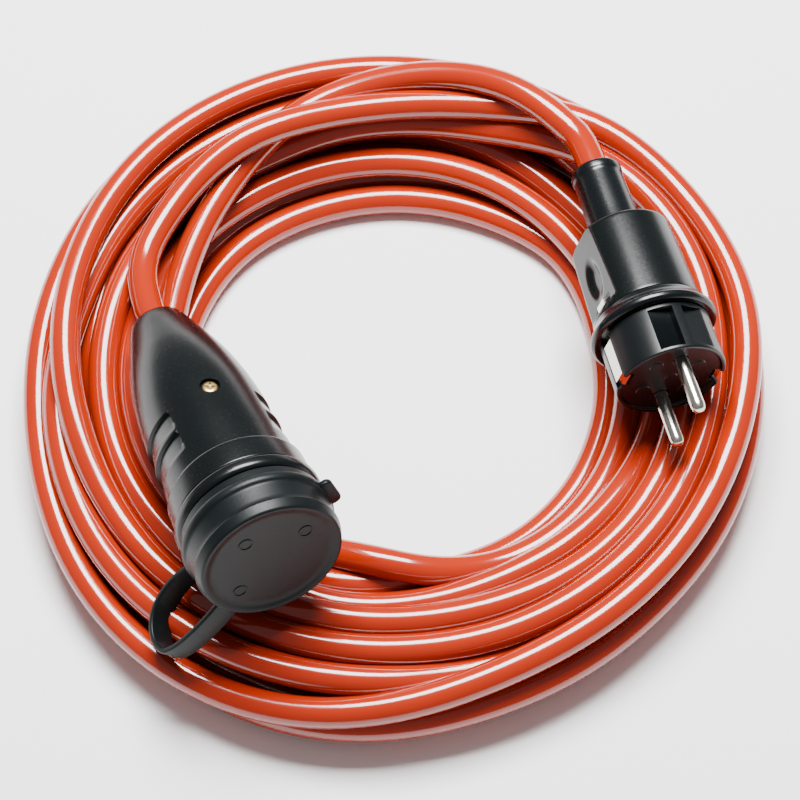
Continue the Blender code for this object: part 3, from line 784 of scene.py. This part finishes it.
def coupler_screw(finishes, place):
    """The housing's pan-headed screw with a cross recess."""
    outline = rounded([
        (0, 0), (0, 1.9, 0.5), (0.5, 2.7, 0.5), (1.1, 2.7, 0.2), (1.1, 1.3), (6.0, 1.3),
        (7.0, 0.3), (7.0, 0)])
    made = mesh_object("housing_screw", lathe(outline, PIN_COLUMNS),
                       finishes["housing_screw"])
    slots = [block((-1.6, -0.36, -1), (1.6, 0.36, 0.8)), block((-0.36, -1.6, -1), (0.36, 1.6, 0.8))]
    carved(made, slots, edge=0.08)
    turn = Vector((0, 0, 1)).rotation_difference(Vector((0, -1, 0))).to_matrix().to_4x4()
    spin = Matrix.Rotation(math.radians(20), 4, "Z")
    made.data.transform(Matrix.Translation((0, 20.2, SCREW_AT)) @ turn @ spin)
    return finished(made, place, "root", ("coupler_housing_screw",))


def coupler_socket(finishes, place):
    """The socket: a round recess with a floor, two contact holes and two earth slots."""
    outline = rounded([
        (-22.5, 0), (-22.5, 19.75, 0.6), (-5.6, 19.75, 0.3), (-5.0, 20.4, 0.2),
        (-5.0, 21.6, 0.4), (-25, 21.6), (-25, 18.9), (-46, 18.9), (-46, 16.5), (-30, 16.5),
        (-30, 0)])
    made = mesh_object("socket_face", lathe(outline), finishes["black_plastic"])
    tools = []
    for side in (-1, 1):
        x = side * PIN_OFFSET
        tools.append(rod(2.9, (x, 0, -33), (x, 0, -20)))
        low, high = sorted((side * 15.4, side * 18.1))
        tools.append(block((-2.9, low, -32.2), (2.9, high, -21)))
    carved(made, tools, edge=0.25)
    return finished(made, place, "root", ("coupler_socket_insert",))


def tether_ring(finishes, place):
    """The rubber ring round the coupler's mouth, with a groove and a thick rib."""
    outline = rounded([
        (-32.4, 21.7), (-32.4, 22.4, 0.4), (-31.6, 23.0, 0.7), (-23.3, 23.1, 0.4),
        (-22.9, 22.6, 0.3), (-22.6, 22.6, 0.2), (-22.4, 23.6, 0.4), (-21.8, 24.2, 0.5),
        (-19.6, 24.2, 0.8), (-18.5, 23.7, 0.6), (-18.0, 22.8, 0.4), (-18.0, 22.0),
        (-25.0, 22.0)])
    made = mesh_object("cap_tether_ring", lathe(outline, 160), finishes["black_rubber"])
    return finished(made, place, "root", ("tether_ring",))


def cap_cup(finishes, place):
    """The flap: a shallow cup with a dished face and a rolled edge, and its pull tab."""
    outline = rounded([
        (-0.9, 0), (-0.9, 19.4, 1.6), (-0.1, 21.4, 1.0), (0, 22.4, 0.35), (-0.5, 22.9, 0.35),
        (-3.6, 23.9, 0.4), (-4.0, 23.3, 0.3), (-5.2, 23.2, 0.6), (-10.6, 23.9, 0.8),
        (-11.3, 24.6, 0.5), (-12.2, 24.9, 0.5), (-13.4, 24.9, 0.6), (-14.3, 24.1, 0.6),
        (-14.8, 23.5, 0.4), (-17.5, 23.5, 0.4), (-17.5, 22.4, 0.3), (-3.2, 22.4), (-3.2, 0)])
    shape = lathe(outline, 160)
    tab = block((22.8, -5.5, -12.9), (27.6, 5.5, -11.0))
    upright = [e for e in tab.edges if abs(e.verts[0].co.z - e.verts[1].co.z) > 1]
    bmesh.ops.bevel(tab, geom=upright, offset=2.2, segments=6, affect="EDGES", profile=0.5)
    bmesh.ops.bevel(tab, geom=tab.edges[:], offset=0.5, segments=3, affect="EDGES", profile=0.5)
    bmesh.ops.rotate(tab, matrix=Matrix.Rotation(math.radians(TAB_TURN), 3, "Z"), verts=tab.verts[:])
    shape = merged(shape, tab)
    made = mesh_object("cap_cup", shape, finishes["cap_rubber"])
    return finished(made, place, "cap", ("cap_cover",))


def cap_strap(finishes, place):
    """The strap, in one piece from the ring round the bend to the cap's face."""
    way = [(-22.8, -20.7), (-28.0, -22.4), (-34.0, -23.4), (-40.5, -22.9), (-45.8, -20.4),
           (-49.0, -16.2), (-50.1, -11.0), (-48.8, -6.2), (-46.0, -4.2), (-41.5, -2.8),
           (-35.5, -1.9), (-28.5, -1.5), (-22.4, -1.6)]
    shape = strip(way, 1.8, 8.5, 96)
    made = mesh_object("cap_strap", shape, finishes["cap_rubber"])
    finished(made, place, None)
    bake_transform(made)
    return made


def points_tree(name, second, output):
    """A new node group that takes points, a radius and a second size, and gives a geometry."""
    tree = bpy.data.node_groups.new(name, "GeometryNodeTree")
    faces = tree.interface
    faces.new_socket("Points", in_out="INPUT", socket_type="NodeSocketGeometry")
    faces.new_socket("Radius", in_out="INPUT", socket_type="NodeSocketFloat")
    faces.new_socket(second, in_out="INPUT", socket_type="NodeSocketFloat")
    faces.new_socket(output, in_out="OUTPUT", socket_type="NodeSocketGeometry")
    return tree, add_node(tree, "NodeGroupInput")


def put_on_points(tree, given, shape, finish, output):
    """End a node group with one real, coated copy of a shape on every point."""
    spread = add_node(tree, "GeometryNodeInstanceOnPoints", [
        ("Points", given.outputs["Points"]), ("Instance", shape.outputs["Mesh"])])
    whole = add_node(tree, "GeometryNodeRealizeInstances", [
        ("Geometry", spread.outputs["Instances"])])
    coated = add_node(tree, "GeometryNodeSetMaterial", [
        ("Geometry", whole.outputs["Geometry"])], Material=finish)
    add_node(tree, "NodeGroupOutput", [(output, coated.outputs["Geometry"])])
    return tree


def pads_tree(finish):
    """A node group that puts a low round pad on every point of a mesh."""
    tree, given = points_tree("Round pads on points", "Depth", "Pads")
    pad = add_node(tree, "GeometryNodeMeshCone", [
        ("Radius Bottom", given.outputs["Radius"]), ("Depth", given.outputs["Depth"])],
        Vertices=32)
    shrink = add_node(tree, "ShaderNodeMath", [(0, given.outputs["Radius"])],
                      operation="MULTIPLY")
    shrink.inputs[1].default_value = 0.86
    tree.links.new(shrink.outputs[0], pad.inputs["Radius Top"])
    return put_on_points(tree, given, pad, finish, "Pads")


def face_pads(finishes, place):
    """The plain round pads moulded on the plug's face round its pins."""
    shape = bmesh.new()
    for x, y in ((-7.5, 6.5), (7.5, 6.5), (-7.5, -6.5), (7.5, -6.5), (0, 0)):
        shape.verts.new((x, y, -1.05))
    made = with_nodes(mesh_object("plug_face_pads", shape, finishes["black_plastic"]),
                      pads_tree(finishes["black_plastic"]), radius=2.5, depth=0.4)
    return finished(made, place, "root")


def marks_tree(finish):
    """A node group that puts a thin round ring on every point of a mesh."""
    tree, given = points_tree("Ring marks on points", "Thickness", "Marks")
    loop = add_node(tree, "GeometryNodeCurvePrimitiveCircle", [
        ("Radius", given.outputs["Radius"])], Resolution=40)
    section = add_node(tree, "GeometryNodeCurvePrimitiveCircle", [
        ("Radius", given.outputs["Thickness"])], Resolution=10)
    ring = add_node(tree, "GeometryNodeCurveToMesh", [
        ("Curve", loop.outputs["Curve"]), ("Profile Curve", section.outputs["Curve"])])
    return put_on_points(tree, given, ring, finish, "Marks")


def ring_marks(name, points, radius, thickness, finish, place, body):
    shape = bmesh.new()
    for point in points:
        shape.verts.new(point)
    made = with_nodes(mesh_object(name, shape, finish), marks_tree(finish), radius=radius,
                      thickness=thickness)
    return finished(made, place, body)


# ---------------------------------------------------------------- the settings

class CordSettings(bpy.types.PropertyGroup):
    """What a user would change on the extension cord."""

    cord_diameter: bpy.props.FloatProperty(
        name="Cord diameter", description="Outer diameter of the sheath", default=0.0101,
        min=0.009, max=0.011, unit="LENGTH")
    cord_length: bpy.props.FloatProperty(
        name="Cord length", description="Real length of the cord between its two clamps",
        default=10.0, unit="LENGTH")
    cord_colour: bpy.props.StringProperty(
        name="Sheath colour", description="Lighter sheath colour, as #rrggbb",
        default="#A02400")
    cord_shade: bpy.props.StringProperty(
        name="Sheath second colour", description="Deeper sheath colour, as #rrggbb",
        default="#8C1A00")
    cord_roughness: bpy.props.FloatProperty(
        name="Sheath roughness", description="Roughness of the sheath's surface", default=0.16,
        min=0.0, max=1.0, subtype="FACTOR")
    rubber_colour: bpy.props.StringProperty(
        name="Grip colour", description="Colour of the rubber grips, as #rrggbb",
        default="#060B0C")
    cap_colour: bpy.props.StringProperty(
        name="Cap colour", description="Colour of the cap and strap, as #rrggbb",
        default="#0A1112")
    floor_colour: bpy.props.StringProperty(
        name="Floor colour", description="Colour of the floor, as #rrggbb", default="#FAFAFA")
    light_power: bpy.props.FloatProperty(
        name="Softbox power", description="Power of the overhead softbox", default=62.0,
        unit="POWER")
    world_strength: bpy.props.FloatProperty(
        name="Room light", description="Strength of the even white room light", default=0.3)


def ready(context):
    """The settings and the finishes, which the first operator to need them makes."""
    settings = context.scene.extension_cord
    if not FINISHES:
        FINISHES.update(make_materials(settings))
    return settings, FINISHES


FINISHES = {}


# ---------------------------------------------------------------- the operators

class CordPiece(bpy.types.Operator):
    """Coil the cord from the plug round to the coupler"""

    bl_idname = "extension_cord.cord"
    bl_label = "Cord"

    def execute(self, context):
        settings, finishes = ready(context)
        made, path = make_cord(settings, finishes)
        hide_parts("cord_coil", "cord_plug_lead", "cord_coupler_lead")
        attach(made, "root")
        return {"FINISHED"}


class PlugPieces(bpy.types.Operator):
    """Make the plug's grip, sleeve, collar, insert and pins"""

    bl_idname = "extension_cord.plug"
    bl_label = "Plug"

    def execute(self, context):
        finishes = ready(context)[1]
        place = laid(*PLUG)
        plug_grip(finishes, place)
        plug_sleeve(finishes, place)
        plug_collar(finishes, place)
        plug_insert(finishes, place)
        plug_pins(finishes, place)
        face_pads(finishes, place)
        return {"FINISHED"}


class CouplerPieces(bpy.types.Operator):
    """Make the coupler's grip, socket and screw"""

    bl_idname = "extension_cord.coupler"
    bl_label = "Coupler"

    def execute(self, context):
        finishes = ready(context)[1]
        place = laid(*COUPLER)
        coupler_grip(finishes, place)
        coupler_socket(finishes, place)
        coupler_screw(finishes, place)
        return {"FINISHED"}


class CapPieces(bpy.types.Operator):
    """Make the tether ring, the cap and the strap between them"""

    bl_idname = "extension_cord.cap"
    bl_label = "Cap and tether"

    def execute(self, context):
        finishes = ready(context)[1]
        place = laid(*CAP)
        tether_ring(finishes, place)
        cap_cup(finishes, place)
        cap_strap(finishes, place)
        upright = laid(*CAP[:3], 0.0)
        ring_marks("cap_ring_marks", [(-6.9, 10.7, -0.9), (12.1, 7.0, -0.9),
                                      (-11.5, -9.1, -0.9)], 2.1, 0.25,
                   finishes["cap_rubber"], upright, "cap")
        return {"FINISHED"}


class InnerFinishes(bpy.types.Operator):
    """Give the plain pieces inside the connectors their real materials"""

    bl_idname = "extension_cord.inner_finishes"
    bl_label = "Inner pieces"

    def execute(self, context):
        finishes = ready(context)[1]
        kept = {"clamp_screw": "zinc_steel", "terminal_screw": "zinc_steel",
                "earth_bracket": "nickel_plate", "coupler_contact": "contact_brass",
                "cord_clamp": "grey_plastic", "terminal_carrier": "grey_plastic",
                "gland_seal": "sleeve_rubber", "cap_seal": "sleeve_rubber",
                "core_brown": "core_brown", "core_blue": "core_blue",
                "core_green": "core_green"}
        for name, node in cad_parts.items():
            for part, finish in kept.items():
                if part in name:
                    for holder in node.material_slots:
                        holder.link = "OBJECT"
                        holder.material = finishes[finish]
        return {"FINISHED"}


class Stage(bpy.types.Operator):
    """Set up the floor, the light and the camera"""

    bl_idname = "extension_cord.stage"
    bl_label = "Stage"

    def execute(self, context):
        settings = ready(context)[0]
        scene = context.scene
        shape = bmesh.new()
        bmesh.ops.create_grid(shape, x_segments=1, y_segments=1, size=4.0)
        # matt seamless paper
        paper, tree, shader = new_material("seamless paper", Roughness=0.9)
        shader.inputs["Base Color"].default_value = linear(settings.floor_colour)
        shader.inputs["Specular IOR Level"].default_value = 0.1
        floor = mesh_object("floor", shape, paper)

        panel = bpy.data.lights.new("softbox", "AREA")
        panel.shape = "RECTANGLE"
        panel.size = 0.62
        panel.size_y = 0.5
        panel.energy = settings.light_power
        light = bpy.data.objects.new("softbox", panel)
        light.location = (0.0, 0.43, 1.14)
        aim = Vector((0, 0, 0)) - light.location
        light.rotation_euler = aim.to_track_quat("-Z", "Y").to_euler()
        scene.collection.objects.link(light)

        room = bpy.data.worlds.new("studio")
        room.use_nodes = True
        sky = room.node_tree.nodes["Background"]
        sky.inputs["Color"].default_value = (1.0, 1.0, 1.0, 1.0)
        sky.inputs["Strength"].default_value = settings.world_strength
        scene.world = room

        lens = bpy.data.cameras.new("camera")
        lens.lens = LENS
        lens.sensor_width = 36.0
        camera = bpy.data.objects.new("camera", lens)
        lift = math.radians(CAMERA_LIFT)
        up = Vector((0.0, math.sin(lift), math.cos(lift)))
        aim = Vector((0.001, 0, 0)) + up * 0.00136
        away = Vector((0.0, -math.cos(lift), math.sin(lift)))
        camera.location = aim + away * CAMERA_AWAY
        camera.rotation_euler = (-away).to_track_quat("-Z", "Y").to_euler()
        scene.collection.objects.link(camera)
        scene.camera = camera
        return {"FINISHED"}


class CordPanel(bpy.types.Panel):
    """The extension cord's pieces and settings"""

    bl_idname = "VIEW3D_PT_extension_cord"
    bl_label = "Extension Cord"
    bl_space_type = "VIEW_3D"
    bl_region_type = "UI"
    bl_category = "Extension Cord"

    def draw(self, context):
        layout = self.layout
        settings = context.scene.extension_cord
        for name in CordSettings.__annotations__:
            layout.prop(settings, name)
        for operator in OPERATORS:
            layout.operator(operator.bl_idname)


OPERATORS = (PlugPieces, CouplerPieces, CapPieces, InnerFinishes, CordPiece, Stage)


def register():
    for item in (CordSettings, *OPERATORS, CordPanel):
        bpy.utils.register_class(item)
    bpy.types.Scene.extension_cord = bpy.props.PointerProperty(type=CordSettings)


def unregister():
    del bpy.types.Scene.extension_cord
    for item in (CordPanel, *reversed(OPERATORS), CordSettings):
        bpy.utils.unregister_class(item)


def main():
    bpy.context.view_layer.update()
    register()
    bpy.ops.extension_cord.plug()
    bpy.ops.extension_cord.coupler()
    bpy.ops.extension_cord.cap()
    bpy.ops.extension_cord.inner_finishes()
    bpy.ops.extension_cord.cord()
    bpy.ops.extension_cord.stage()


if __name__ == "__main__":
    main()
